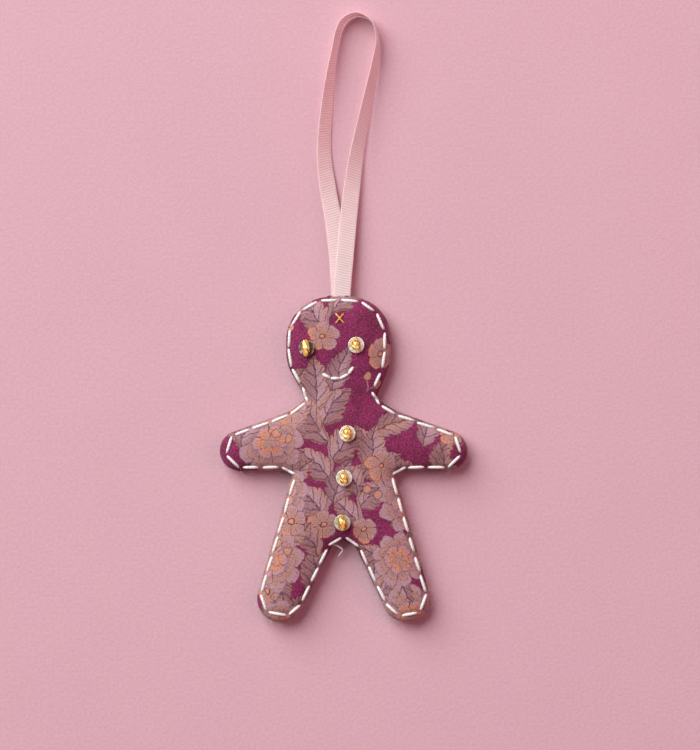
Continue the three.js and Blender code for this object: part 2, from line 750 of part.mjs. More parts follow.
const frontHoles = [...stitchHoles, ...goldHoles, ...smileHoles, ...crossHoles];
add('front_panel', panel(1, frontHoles), material(0x7d2450, 0.85));
add('back_panel', panel(-1, stitchHoles), material(0x7d2450, 0.85));
add('running_stitch', runningStitch(), material(0xf4ecea, 0.75));
add('smile_stitch', frontStitches(smileEnds, smileThreadRadius, smileNeck), material(0xf4ecea, 0.75));
add('cross_stitch', crossStitch(), material(0xd9b37a, 0.4, 0.6));
for (const { name, group } of trimPlaces) {
  add(`sequin_${name}`, sequin(), material(0xf6e6cf, 0.1, 0.3), group);
  add(`bead_${name}`, bead(), material(0xc8943c, 0.2, 0.9), group);
  add(`bead_thread_${name}`, beadThread(), material(0xd9b37a, 0.4, 0.6), group);
  ornament.add(group);
}
add('ribbon_tail_front', ribbonTail(1, frontStrandX), material(0xe6b2ac, 0.6));
add('ribbon_tail_back', ribbonTail(-1, backStrandX), material(0xe6b2ac, 0.6));
add('ribbon_loop', ribbonLoop(), material(0xe6b2ac, 0.6));
for (const [name, tuft] of Object.entries(stuffingTufts())) {
  add(name, fromSolid(tuft), material(0xf2efe8, 0.95));
}

export default ornament;
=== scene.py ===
"""Looks of a stuffed cloth gingerbread man ornament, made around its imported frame.

The figure lies on its back: +X to the viewer's right, +Y towards the head, +Z out of the face.
Points are written in millimetres and become metres where a mesh is made.
"""

import math
import random

import bmesh
import bpy
import numpy as np
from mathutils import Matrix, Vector, noise
from mathutils.geometry import delaunay_2d_cdt


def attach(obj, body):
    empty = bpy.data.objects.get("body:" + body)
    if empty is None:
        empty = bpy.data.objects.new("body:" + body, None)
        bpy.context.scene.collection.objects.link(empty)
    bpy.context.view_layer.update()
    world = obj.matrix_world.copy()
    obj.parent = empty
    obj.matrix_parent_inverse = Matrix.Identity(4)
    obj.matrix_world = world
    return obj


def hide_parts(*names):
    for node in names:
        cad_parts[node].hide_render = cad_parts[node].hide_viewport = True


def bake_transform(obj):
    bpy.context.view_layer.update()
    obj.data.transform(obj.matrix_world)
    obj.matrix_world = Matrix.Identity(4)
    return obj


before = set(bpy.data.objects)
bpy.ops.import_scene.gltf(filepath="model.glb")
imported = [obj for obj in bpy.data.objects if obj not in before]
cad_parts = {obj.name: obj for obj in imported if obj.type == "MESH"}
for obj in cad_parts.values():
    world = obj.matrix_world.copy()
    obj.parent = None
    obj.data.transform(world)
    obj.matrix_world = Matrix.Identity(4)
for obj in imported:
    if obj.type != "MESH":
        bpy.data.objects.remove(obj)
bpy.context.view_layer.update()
scene = bpy.context.scene
scene.view_settings.view_transform = "Standard"
MM = 0.001

# Camera: straight down on the photographed frame
FRAME_HEIGHT = 255.8
FRAME_X = 2.2
FRAME_Y = 28.8
CAMERA_HEIGHT = 1300
FOCUS_HEIGHT = 5
SENSOR = 36

# Outline of the figure
FIGURE_HEIGHT = 111
ARM_SPAN = 84.5
HEAD_WIDTH = 35.8
HEAD_LEAN = -1.7
CROWN_RADIUS_LEFT = 15
CROWN_RADIUS_RIGHT = 14.2
CHEEK_DROP_LEFT = 23
CHEEK_DROP_RIGHT = 22.5
CHEEK_RADIUS = 16
NECK_WIDTH = 24
NECK_HEIGHT = 20.8
NECK_RADIUS = 0.8
SHOULDER_WIDTH = 36
SHOULDER_DROP = 4.3
SHOULDER_RADIUS = 20
HAND_TOP = 7.8
HAND_BOTTOM = -3.85
HAND_RADIUS = 6.8
CHEST_WIDTH = 34.2
ARMPIT_RADIUS = 2
FOOT_OUTER_SPAN = 64.4
FOOT_INNER_SPAN = 32.6
FOOT_RADIUS = 8
CROTCH_HEIGHT = -21.4
CROTCH_RADIUS = 4.8
HEAD_TOP = FIGURE_HEIGHT / 2

# Cloth
CLOTH_THICKNESS = 0.45
RIM_HEIGHT = 2.3
RIM_REACH = 2.2
CROWN_RISE = 2.3
CROWN_REACH = 11
SEAM_HEIGHT = 4.1
SEAM_GAP = 0.12
FOLD_OPENING = 0.72
CLOTH_STEP = 0.62
RIM_RINGS = 8
STUFFED = ("head", "body", "arm_left", "arm_right", "leg_left", "leg_right")
TUFT_VOXEL = 0.9
FIBRE_COUNT = 150
FIBRE_RADIUS = 0.035

# How far holes, stitches and trims draw the cloth in, and how far it rises and rumples between them
HOLE_DRAW = 0.42
STITCH_DRAW = 0.34
BETWEEN_RISE = 0.22
SMILE_HOLE_DRAW = 0.3
SMILE_DRAW = 0.22
CROSS_DRAW = 0.25
TRIM_DRAW = 0.2
RUMPLE = 0.26
FINE_RUMPLE = 0.1

# Running stitch and how far it runs inside the edge
STITCH_COUNT = 58
BITE = 1.45
BITE_SWAY = 0.36
STITCH_RADIUS = 0.55
STITCH_LIFT = 0.33
INSET_USUAL = 1.2
INSETS = {1: 0.9, 2: 1.0, 5: 2.45, 8: 2.45, 11: 2.45, 14: 2.45, 17: 2.1, 18: 2.15}
EDGE_PINCH = 0.55
PLY_DEPTH = 0.26

# Sequins, beads, smile and cross. A trim's look is its sequin's lean in degrees across and along,
# how much of a painted dark reflection its sequin shows, its bead's length, and how full the bead is
# at its shoulders.
TRIMS = {
    "eye_left": (-12.5, 38.0),
    "eye_right": (4.3, 39.0),
    "button_top": (1.3, 8.9),
    "button_middle": (0.2, -6.2),
    "button_bottom": (-0.4, -21.3),
}
TRIM_LOOKS = {
    "eye_left": (6, -4, 0.9, 5.5, 0.78),
    "eye_right": (-5, 5, 0.0, 3.3, 0.88),
    "button_top": (4, -2, 0.1, 3.8, 0.88),
    "button_middle": (-2, 4, 0.0, 3.7, 0.88),
    "button_bottom": (2, -5, 0.35, 4.3, 0.86),
}
SEQUIN_RADIUS = 2.75
SEQUIN_HOLE = 0.6
SEQUIN_LIFT = 0.42
SEQUIN_CUP = 0.42
SEQUIN_THICKNESS = 0.09
BEAD_RADIUS = 1.6
BEAD_END = 0.6
BEAD_LIFT = 0.85
BEAD_BORE = 0.55
GOLD_RADIUS = 0.15
GOLD_REACH = SEQUIN_RADIUS + 2 * GOLD_RADIUS
GOLD_DEPTH = 1.6
SMILE_CENTRE = (-2.7, 34.0)
SMILE_RADIUS = 6.5
SMILE_SPAN = (229, 336)
SMILE_STITCHES = 4
SMILE_BITE = 0.6
SMILE_THREAD = 0.58
SMILE_LIFT = 0.4
CROSS_CENTRE = (-1.3, 48.1)
CROSS_SIZE = (3.1, 3.7)
CROSS_THREAD = 0.28

# Ribbon: its line past the fold, as places of x, y, z and roll in degrees
RIBBON_WIDTH = 6
RIBBON_HALF_THICKNESS = 0.13
RIB_DEPTH = 0.06
RIB_PITCH = 0.86
RIB_SLANT = 0.16
RIBBON_STEP = 0.2
RIBBON_SIDES = 20
FOLD_Y = 56.25
TAIL_LENGTH = 12.75
FRONT_STRAND = (-0.5, 4.4)
BACK_STRAND = (-1.3, 3.8)
LOOP_PLACES = [
    (0.7, 15, 3.6, 2),
    (1.8, 27, 3.1, 7),
    (2.8, 36, 2.9, 16),
    (4.7, 49, 2.9, 35),
    (8.2, 66, 3, 51),
    (11, 80, 3.1, 66),
    (11.6, 87.5, 3.2, 79),
    (9.4, 93.6, 3.3, 87),
    (4.2, 95.8, 3.3, 98),
    (-0.4, 93, 3.2, 107),
    (-3.4, 82, 3.1, 110),
    (-5.5, 66, 2.6, 132),
    (-6.6, 49, 2, 147),
    (-5.3, 36, 1.9, 164),
    (-3.7, 27, 2.3, 173),
    (-2.2, 15, 3, 178),
]


def colour(red, green, blue):
    """A colour in screen values from 0 to 255 as the linear one that shaders take."""
    def linear(share):
        return share / 12.92 if share <= 0.04045 else ((share + 0.055) / 1.055) ** 2.4
    return (*(linear(value / 255) for value in (red, green, blue)), 1.0)


PLUM = colour(116, 20, 66)
PLUM_BRIGHT = colour(140, 30, 86)
LEAF_TAUPE = colour(190, 136, 126)
LEAF_GREY = colour(168, 122, 128)
LEAF_SHADE = colour(142, 90, 98)
PETAL_MAUVE = colour(188, 142, 154)
PETAL_PEACH = colour(220, 140, 110)
INK = colour(72, 26, 44)
THREAD_WHITE = colour(250, 244, 241)
THREAD_SHADE = colour(236, 224, 220)
GOLD = colour(232, 190, 112)
GOLD_DEEP = colour(192, 134, 58)
CHAMPAGNE = colour(255, 248, 234)
CHAMPAGNE_DEEP = colour(246, 226, 192)
# Painted dark reflection: a sequin turned away from the light is coloured as though it reflects a dark
# room
SEQUIN_PAINTED_REFLECTION = colour(62, 42, 32)
RIBBON_PINK = colour(252, 220, 221)
RIBBON_SHADE = colour(228, 178, 178)
WADDING = colour(238, 232, 226)
WADDING_SHADE = colour(214, 206, 200)
TABLE_PINK = colour(227, 178, 190)
TABLE_SHADE = colour(216, 165, 178)
ROOM = colour(238, 226, 228)


class Value:
    """A value inside a finish. Sums with it add Math nodes."""

    def __init__(self, finish, socket):
        self.finish = finish
        self.socket = socket

    def math(self, operation, *values):
        return self.finish.node("Math", {"operation": operation}, dict(enumerate(values)))

    def __add__(self, other):
        return self.math("ADD", self, other)

    __radd__ = __add__

    def __sub__(self, other):
        return self.math("SUBTRACT", self, other)

    def __rsub__(self, other):
        return self.math("SUBTRACT", other, self)

    def __mul__(self, other):
        return self.math("MULTIPLY", self, other)

    __rmul__ = __mul__

    def __abs__(self):
        return self.math("ABSOLUTE", self)

    def most(self, other):
        return self.math("MAXIMUM", self, other)

    def least(self, other):
        return self.math("MINIMUM", self, other)

    def scaled(self, factor, offset):
        return self.math("MULTIPLY_ADD", self, factor, offset)

    def whole(self):
        return self.math("ROUND", self)

    def part(self):
        return self.math("FRACT", self)

    def cosine(self):
        return self.math("COSINE", self)

    def root(self):
        return self.math("SQRT", self)

    def angle_over(self, across):
        return self.math("ARCTAN2", self, across)

    def step(self, low, high):
        """0 at low and 1 at high, smooth between them."""
        settings = {"interpolation_type": "SMOOTHSTEP"}
        return self.finish.node("MapRange", settings, {0: self, 1: low, 2: high})


class Finish:
    """A material, or the room's light, and the nodes that make it."""

    def __init__(self, owner):
        self.owner = owner
        owner.use_nodes = True
        self.tree = owner.node_tree
        self.tree.nodes.clear()

    def join(self, value, socket):
        if isinstance(value, Value):
            self.tree.links.new(value.socket, socket)
        else:
            socket.default_value = value

    def node(self, kind, settings=None, sockets=None, out=0):
        made = self.tree.nodes.new("ShaderNode" + kind)
        for name, value in (settings or {}).items():
            setattr(made, name, value)
        for name, value in (sockets or {}).items():
            self.join(value, made.inputs[name])
        return Value(self, made.outputs[out]) if made.outputs else made

    def mix(self, share, first, second):
        return self.node("Mix", {"data_type": "RGBA"}, {0: share, 6: first, 7: second}, out=2)

    def parts(self, vector):
        split = self.node("SeparateXYZ", None, {0: vector})
        return [Value(self, socket) for socket in split.socket.node.outputs]

    def vector(self, x, y, z):
        return self.node("CombineXYZ", None, {0: x, 1: y, 2: z})

    def place(self):
        """The place on the piece at rest, in millimetres."""
        spot = self.node("TexCoord", None, None, out="Object")
        return self.node("VectorMath", {"operation": "SCALE"}, {0: spot, "Scale": 1 / MM})

    def kept(self, name):
        """What a mesh keeps at each of its points under a name."""
        return self.node("Attribute", {"attribute_name": name}, None, out="Vector")

    def cloudy(self, where, scale, detail=2.0):
        """Smooth noise round a half, with scale lumps a millimetre."""
        return self.node("TexNoise", None, {"Vector": where, "Scale": scale, "Detail": detail})

    def bump(self, height, depth):
        sockets = {"Strength": 1.0, "Distance": depth * MM, "Height": height}
        return self.node("Bump", None, sockets)

    def surface(self, **sockets):
        """Ends the finish in a surface; a socket's name has _ for its spaces."""
        named = {name.replace("_", " "): value for name, value in sockets.items()}
        skin = self.node("BsdfPrincipled", None, named)
        self.node("OutputMaterial", None, {"Surface": skin})
        return self.owner


def new_finish(name):
    return Finish(bpy.data.materials.new(name))


# Meshes

def piece(name, points, faces, material, slot, smooth=True):
    """A closed piece from points in millimetres, faces turned outwards."""
    mesh = bpy.data.meshes.new(name)
    mesh.from_pydata((np.asarray(points, float) * MM).tolist(), [], faces)
    work = bmesh.new()
    work.from_mesh(mesh)
    bmesh.ops.recalc_face_normals(work, faces=work.faces)
    work.to_mesh(mesh)
    work.free()
    if smooth:
        mesh.shade_smooth()
    mesh.materials.append(material)
    made = bpy.data.objects.new(name, mesh)
    scene.collection.objects.link(made)
    return made


def keep_places(made, name, places):
    attribute = made.data.attributes.new(name, "FLOAT_VECTOR", "POINT")
    attribute.data.foreach_set("vector", np.asarray(places, np.float32).ravel())


def ring_faces(rings, sides, closed=False):
    """Quads through rings of the same count, capped at both ends unless the rings close."""
    faces = []
    for i in range(rings if closed else rings - 1):
        a = i * sides
        b = (i + 1) % rings * sides
        for k in range(sides):
            n = (k + 1) % sides
            faces.append((a + k, a + n, b + n, b + k))
    if not closed:
        last = (rings - 1) * sides
        faces.append(tuple(range(sides))[::-1])
        faces.append(tuple(range(last, last + sides)))
    return faces


def along(line):
    steps = np.linalg.norm(np.diff(line[:, :3], axis=0), axis=1)
    return np.concatenate([[0], np.cumsum(steps)])


def spaced(line, step):
    """The same line with points about a step apart."""
    at = along(line)
    to = np.linspace(0, at[-1], max(2, round(at[-1] / step) + 1))
    return np.stack([np.interp(to, at, column) for column in line.T], axis=1)


def between(first, second, low, high, at):
    return (first * (high - at) + second * (at - low)) / (high - low)


def smooth_line(stations, step, fine=12):
    """A smooth line through stations, whose columns past the third are carried along."""
    p = np.asarray(stations, float)
    p = np.vstack([2 * p[0] - p[1], p, 2 * p[-1] - p[-2]])
    knots = np.cumsum(np.sqrt(np.linalg.norm(np.diff(p[:, :3], axis=0), axis=1)))
    knots = np.concatenate([[0], knots])
    found = []
    for i in range(1, len(p) - 2):
        a, b, c, d = p[i - 1:i + 3]
        ta, tb, tc, td = knots[i - 1:i + 3]
        at = np.linspace(tb, tc, fine, endpoint=False)[:, None]
        ab = between(a, b, ta, tb, at)
        bc = between(b, c, tb, tc, at)
        cd = between(c, d, tc, td, at)
        abc = between(ab, bc, ta, tc, at)
        bcd = between(bc, cd, tb, td, at)
        found.append(between(abc, bcd, tb, tc, at))
    found.append(p[-2][None])
    return spaced(np.vstack(found), step)


def unit(vectors):
    return vectors / np.linalg.norm(vectors, axis=1)[:, None]


def directions(line):
    steps = unit(np.diff(line[:, :3], axis=0))
    return unit(np.vstack([steps[:1], steps[:-1] + steps[1:], steps[-1:]]))


def twisted(line, plies, lay, sides):
    """A thread of twisted plies along a line whose fourth column is its radius."""
    up = np.array([0.31, 0.52, 0.8])
    angles = np.arange(sides) * 2 * math.pi / sides
    points = []
    for place, way, length in zip(line, directions(line), along(line)):
        up = up - way * (up @ way)
        up /= np.linalg.norm(up)
        across = np.cross(way, up)
        lobes = np.abs(np.cos(plies / 2 * (angles - 2 * math.pi * length / lay)))
        reach = place[3] * (1 - PLY_DEPTH * (1 - lobes))
        loop = np.outer(np.cos(angles) * reach, up) + np.outer(np.sin(angles) * reach, across)
        points.append(place[:3] + loop)
    return np.vstack(points), ring_faces(len(line), sides)


# Camera

def photograph_camera():
    data = bpy.data.cameras.new("camera")
    data.sensor_width = SENSOR
    data.lens = SENSOR * (CAMERA_HEIGHT - FOCUS_HEIGHT) / FRAME_HEIGHT
    data.clip_start = 0.05
    data.clip_end = 50
    camera = bpy.data.objects.new("camera", data)
    camera.location = Vector((FRAME_X, FRAME_Y, CAMERA_HEIGHT)) * MM
    scene.collection.objects.link(camera)
    scene.camera = camera


photograph_camera()


# Hanging ribbon

def grosgrain():
    finish = new_finish("grosgrain")
    length, across, beat = finish.parts(finish.kept("ribbon"))
    rib = (beat * (2 * math.pi)).cosine()
    fibre = finish.cloudy(finish.vector(length * 1.5, across * 6, 0), 1.0, 3.0)
    selvedge = abs(across).step(2.45, 2.7)
    # Painted shade darkens the rib valleys and dots the selvedge; the fibre noise is the yarn's own
    # uneven tone
    rib_valley_shade_and_fibre = rib.step(-0.1, -0.85) * 0.75 + fibre * 0.3
    shade = rib_valley_shade_and_fibre * (1 - selvedge) + selvedge * rib.step(-0.2, 0.6).scaled(0.5, 0.35)
    return finish.surface(
        Base_Color=finish.mix(shade, RIBBON_PINK, RIBBON_SHADE),
        Roughness=fibre.scaled(0.25, 0.5),
        Specular_IOR_Level=0.35,
        Subsurface_Weight=1.0,
        Subsurface_Radius=(1.0, 1.0, 1.0),
        Subsurface_Scale=0.7 * MM,
        Sheen_Weight=0.2,
        Sheen_Roughness=0.4,
        Normal=finish.bump(fibre, 0.05),
    )


def ribbon_line():
    def strand(x, z, roll):
        return [(x, past, z, roll) for past in (-TAIL_LENGTH, -TAIL_LENGTH / 2, 0.6)]
    stations = [*strand(*FRONT_STRAND, 0), *LOOP_PLACES, *strand(*BACK_STRAND, 180)[::-1]]
    return smooth_line([(x, FOLD_Y + y, z, roll) for x, y, z, roll in stations], RIBBON_STEP)


def hanging_ribbon():
    line = ribbon_line()
    ways = directions(line)
    outwards = unit(np.cross(ways, (0, 0, 1)))
    level = np.cross(outwards, ways)
    roll = np.radians(line[:, 3:4])
    face = level * np.cos(roll) + outwards * np.sin(roll)
    across = np.cross(face, ways)
    angles = np.arange(RIBBON_SIDES) * 2 * math.pi / RIBBON_SIDES
    wide = np.sign(np.cos(angles)) * np.abs(np.cos(angles)) ** 0.75
    high = np.sign(np.sin(angles)) * np.abs(np.sin(angles)) ** 0.4
    at = along(line)
    crosswise = np.tile(wide * RIBBON_WIDTH / 2, (len(line), 1))
    beat = (at[:, None] - RIB_SLANT * crosswise) / RIB_PITCH
    ribs = 0.5 + 0.5 * np.cos(2 * math.pi * beat)
    half_width = RIBBON_WIDTH / 2 - 0.06 + 0.06 * ribs
    half_thickness = RIBBON_HALF_THICKNESS + RIB_DEPTH * ribs
    points = (
        line[:, None, :3]
        + across[:, None] * (half_width * wide)[:, :, None]
        + face[:, None] * (half_thickness * high)[:, :, None]
    )
    faces = ring_faces(len(line), RIBBON_SIDES)
    made = piece("hanging_ribbon", points.reshape(-1, 3), faces, grosgrain(), "ribbon")
    lengthwise = np.repeat(at, RIBBON_SIDES)
    keep_places(made, "ribbon", np.stack([lengthwise, crosswise.ravel(), beat.ravel()], axis=1))
    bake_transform(made)
    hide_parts("ribbon_tail_front", "ribbon_tail_back", "ribbon_loop")
    (line[:, :3] * MM).tolist()


hanging_ribbon()


# Outline

def figure_corners():
    """Corners and their rounds, anticlockwise from the top left of the head."""
    def half(side, crown_radius, cheek_drop):
        rows = [
            (HEAD_WIDTH / 2, HEAD_TOP, crown_radius, HEAD_LEAN),
            (HEAD_WIDTH / 2, HEAD_TOP - cheek_drop, CHEEK_RADIUS, HEAD_LEAN),
            (NECK_WIDTH / 2, NECK_HEIGHT, NECK_RADIUS, HEAD_LEAN / 2),
            (SHOULDER_WIDTH / 2, NECK_HEIGHT - SHOULDER_DROP, SHOULDER_RADIUS, 0),
            (ARM_SPAN / 2, HAND_TOP, HAND_RADIUS, 0),
            (ARM_SPAN / 2, HAND_BOTTOM, HAND_RADIUS, 0),
            (CHEST_WIDTH / 2, HAND_BOTTOM, ARMPIT_RADIUS, 0),
            (FOOT_OUTER_SPAN / 2, -HEAD_TOP, FOOT_RADIUS, 0),
            (FOOT_INNER_SPAN / 2, -HEAD_TOP, FOOT_RADIUS, 0),
        ]
        return [(side * x + lean, y, radius) for x, y, radius, lean in rows]
    left = half(-1, CROWN_RADIUS_LEFT, CHEEK_DROP_LEFT)
    right = half(1, CROWN_RADIUS_RIGHT, CHEEK_DROP_RIGHT)
    return np.array([*left, (0, CROTCH_HEIGHT, CROTCH_RADIUS), *right[::-1]], float)


def corner_turns(at, radius):
    """Directions into and out of each corner, its turn, and its round fitted to its edges."""
    into = at - np.roll(at, 1, axis=0)
    edge = np.linalg.norm(into, axis=1)
    into = into / edge[:, None]
    out = np.roll(into, -1, axis=0)
    cross = into[:, 0] * out[:, 1] - into[:, 1] * out[:, 0]
    turn = np.arctan2(cross, (into * out).sum(1))
    reach = radius * np.tan(np.abs(turn) / 2)
    fit = np.minimum(1, edge / (np.roll(reach, 1) + reach))
    return into, out, turn, radius * np.minimum(fit, np.roll(fit, -1))


def inward(way):
    return np.stack([-way[:, 1], way[:, 0]], axis=1)


def outline(insets):
    """The outline as a fine closed line, its edges moved inwards by their insets."""
    corners = figure_corners()
    at = corners[:, :2]
    into, out, turn, radius = corner_turns(at, corners[:, 2])
    before = np.broadcast_to(np.asarray(insets, float), turn.shape)
    after = np.roll(before, -1)
    a = inward(into)
    b = inward(out)
    det = a[:, 0] * b[:, 1] - a[:, 1] * b[:, 0]
    shift_x = before * b[:, 1] - after * a[:, 1]
    shift_y = after * a[:, 0] - before * b[:, 0]
    at = at + np.stack([shift_x, shift_y], axis=1) / det[:, None]
    radius = np.maximum(0.15, radius - np.sign(turn) * (before + after) / 2)
    into, out, turn, radius = corner_turns(at, radius)
    points = []
    for i in range(len(at)):
        start = at[i] - into[i] * radius[i] * math.tan(abs(turn[i]) / 2)
        centre = start + inward(into)[i] * np.sign(turn[i]) * radius[i]
        spoke = start - centre
        for angle in np.linspace(0, turn[i], 3 + int(radius[i] * abs(turn[i]) / 0.1)):
            c, s = math.cos(angle), math.sin(angle)
            points.append(centre + (c * spoke[0] - s * spoke[1], s * spoke[0] + c * spoke[1]))
    return np.vstack([points, points[:1]])


def outline_ring(insets, step):
    return spaced(outline(insets), step)[:-1]


EDGE = outline_ring(0, 0.35)
EDGE_SHARE = np.linalg.norm(EDGE[1] - EDGE[0])


def depth_inside(points):
    """Distance to the edge, softened between facing edges so that limbs crown without a ridge."""
    found = []
    for chunk in np.array_split(points, max(1, len(points) // 2000)):
        square = ((chunk[:, None] - EDGE[None]) ** 2).sum(2)
        pull = (EDGE_SHARE / np.maximum(square, 1e-9) ** 2).sum(1)
        found.append(np.cbrt(math.pi / 2 / pull))
    return np.concatenate(found)


def puff_at(depth):
    rim = np.minimum(depth / RIM_REACH, 1)
    crown = np.minimum(depth / CROWN_REACH, 1)
    return RIM_HEIGHT * np.sqrt(1 - (1 - rim) ** 2) + CROWN_RISE * (1 - (1 - crown) ** 2)


def slope_of(points, field, step=0.05):
    east = np.array([step, 0])
    north = np.array([0, step])
    dx = field(points + east) - field(points - east)
    dy = field(points + north) - field(points - north)
    return np.stack([dx, dy], axis=1) / (2 * step)


# Stitch places

def stitch_places():
    """Where each stitch of the running stitch starts and ends, from the crotch round."""
    line = outline([INSETS.get(edge, INSET_USUAL) for edge in range(len(figure_corners()))])
    at = along(line)
    crotch = at[np.argmin(np.linalg.norm(line - (0, CROTCH_HEIGHT), axis=1))]
    pitch = at[-1] / STITCH_COUNT
    chance = random.Random(5)
    places = []
    for i in range(STITCH_COUNT):
        start = crotch + i * pitch + BITE / 2 + chance.uniform(-BITE_SWAY, BITE_SWAY)
        end = crotch + (i + 1) * pitch - BITE / 2 + chance.uniform(-BITE_SWAY, BITE_SWAY)
        sway = chance.uniform(-0.12, 0.12)
        first, last = (
            np.array([np.interp(spot % at[-1], at, line[:, k]) for k in (0, 1)])
            for spot in (start, end)
        )
        aside = inward((last - first)[None])[0] * sway / np.linalg.norm(last - first)
        places.append((first + aside, last - aside))
    return np.array(places)


def smile_places():
    low, high = (math.radians(angle) for angle in SMILE_SPAN)
    bite = SMILE_BITE / SMILE_RADIUS
    stitch = (high - low - (SMILE_STITCHES - 1) * bite) / SMILE_STITCHES
    starts = low + np.arange(SMILE_STITCHES) * (stitch + bite)
    angles = np.stack([starts, starts + stitch], axis=1)
    around = np.stack([np.cos(angles), np.sin(angles)], axis=2)
    return np.array(SMILE_CENTRE) + SMILE_RADIUS * around


def cross_places():
    half = np.array(CROSS_SIZE) / 2
    corners = np.array([(-1, 1), (1, -1), (-1, -1), (1, 1)])
    return (np.array(CROSS_CENTRE) + half * corners).reshape(2, 2, 2)


STITCHES = stitch_places()
BITES = np.stack([STITCHES[:, 1], np.roll(STITCHES[:, 0], -1, axis=0)], axis=1)
SMILE = smile_places()
CROSS = cross_places()
TRIM_PLACES = np.array(list(TRIMS.values()))


# Cloth surface

def nearest(points, spots):
    return np.sqrt(((points[:, None] - spots[None]) ** 2).sum(2).min(1))


def nearest_stitch(points, places):
    best = np.full(len(points), np.inf)
    for start, end in places:
        way = end - start
        share = np.clip((points - start) @ way / (way @ way), 0, 1)
        best = np.minimum(best, np.linalg.norm(points - start - share[:, None] * way, axis=1))
    return best


def bell(distance, width):
    return np.exp(-(distance / width) ** 2)


def waves(points, scale, seed):
    return np.array([noise.noise(Vector((x / scale, y / scale, seed))) for x, y in points])


def surface_height(points, side):
    """Height of the cloth over the seam: puffed, drawn in at every stitch, faintly rumpled."""
    depth = depth_inside(points)
    sewn, loose = (STITCHES, BITES) if side > 0 else (BITES, STITCHES)
    height = puff_at(depth)
    height -= HOLE_DRAW * bell(nearest(points, STITCHES.reshape(-1, 2)), 0.9)
    height -= STITCH_DRAW * bell(nearest_stitch(points, sewn), 1.0)
    height += BETWEEN_RISE * bell(nearest(points, loose.mean(1)), 1.3)
    rumple = RUMPLE * waves(points, 11, 3.1 + side) + FINE_RUMPLE * waves(points, 4.2, 8.7 + side)
    if side > 0:
        rumple *= 1 - bell(nearest(points, TRIM_PLACES), 5)
        height -= SMILE_HOLE_DRAW * bell(nearest(points, SMILE.reshape(-1, 2)), 0.8)
        height -= SMILE_DRAW * bell(nearest_stitch(points, SMILE), 0.9)
        height -= CROSS_DRAW * bell(nearest(points, CROSS.reshape(-1, 2)), 0.7)
        height -= TRIM_DRAW * bell(nearest(points, TRIM_PLACES), 2.6)
    return height + np.clip(depth / 5, 0, 1) * rumple


def front_z(points):
    return SEAM_HEIGHT + surface_height(points, 1)


def back_z(points):
    return np.maximum(0.0, SEAM_HEIGHT - surface_height(points, -1))


def laid_flat(points):
    """Places on the cloth before it was puffed: the rolled rim is laid out flat."""
    depths = np.linspace(0.002, CROWN_REACH, 3000)
    slope = np.gradient(puff_at(depths), depths)
    extra = np.sqrt(1 + slope ** 2) - 1
    rest = np.cumsum(extra[::-1])[::-1] * (depths[1] - depths[0])
    outwards = -slope_of(points, depth_inside)
    outwards /= np.maximum(np.linalg.norm(outwards, axis=1), 1e-6)[:, None]
    return points + outwards * np.interp(depth_inside(points), depths, rest)[:, None]


def inner_points():
    """Even points inside the rolled rim, row by row."""
    margin = outline(RIM_REACH + CLOTH_STEP * 0.7)
    row = CLOTH_STEP * math.sqrt(3) / 2
    found = []
    for j in range(int(-HEAD_TOP / row), int(HEAD_TOP / row) + 1):
        y = j * row + 0.013
        offset = (j % 2) / 2
        cuts = []
        for (x0, y0), (x1, y1) in zip(margin[:-1], margin[1:]):
            if (y0 > y) != (y1 > y):
                cuts.append(x0 + (x1 - x0) * (y - y0) / (y1 - y0))
        cuts.sort()
        for low, high in zip(cuts[::2], cuts[1::2]):
            first = math.ceil(low / CLOTH_STEP - offset)
            last = math.floor(high / CLOTH_STEP - offset)
            found += [((k + offset) * CLOTH_STEP, y) for k in range(first, last + 1)]
    return found


def cloth_grid():
    """Points of a panel in plan, rings along the rolled rim first, and its triangles."""
    bends = np.linspace(0, math.pi / 2, RIM_RINGS)
    rings = [outline_ring(RIM_REACH * (1 - math.cos(bend)), CLOTH_STEP) for bend in bends]
    points = np.vstack([*rings, inner_points()])
    count = len(rings[0])
    border = [(i, (i + 1) % count) for i in range(count)]
    found = delaunay_2d_cdt([Vector(p) for p in points], border, [], 1, 1e-7)
    order = [source[0] for source in found[3]]
    triangles = np.array([[order[i] for i in face] for face in found[2]])
    return points, triangles, count, laid_flat(points)


def pinched(points):
    """The same places in plan, the edge drawn in beside every bite of the running stitch."""
    depth = depth_inside(points)
    pull = EDGE_PINCH * bell(nearest(points, BITES.mean(1)), 1.7) * np.clip(1 - depth / 1.2, 0, 1)
    return points + unit(slope_of(points, depth_inside) + 1e-9) * pull[:, None]


def cloth_panel(name, grid, side, material, node, shift):
    points, triangles, count, flat = grid
    edge = points[:count]
    z = front_z(points) if side > 0 else back_z(points)
    by_ribbon = (edge[:, 1] > HEAD_TOP - 1) & (np.abs(edge[:, 0] + 0.9) < RIBBON_WIDTH / 2 + 1.4)
    z[:count] = SEAM_HEIGHT + side * np.where(by_ribbon, FOLD_OPENING, SEAM_GAP)
    outer = np.column_stack([pinched(points), z])
    a, b, c = (outer[triangles[:, k]] for k in range(3))
    normals = np.zeros_like(outer)
    for k in range(3):
        np.add.at(normals, triangles[:, k], np.cross(b - a, c - a))
    lining = outer - unit(normals) * CLOTH_THICKNESS * side
    total = len(points)
    faces = triangles.tolist()
    faces += (triangles[:, ::-1] + total).tolist()
    faces += [(i, i + total, (i + 1) % count + total, (i + 1) % count) for i in range(count)]
    made = piece(name, np.vstack([outer, lining]), faces, material, "printed_cotton")
    places = np.vstack([flat, flat]) + shift
    keep_places(made, "cloth", np.column_stack([places, np.zeros(2 * total)]))
    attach(made, "figure")
    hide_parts(node)


# Printed cotton: sprays, leaves and blossoms of a plain garden kind on a plum ground

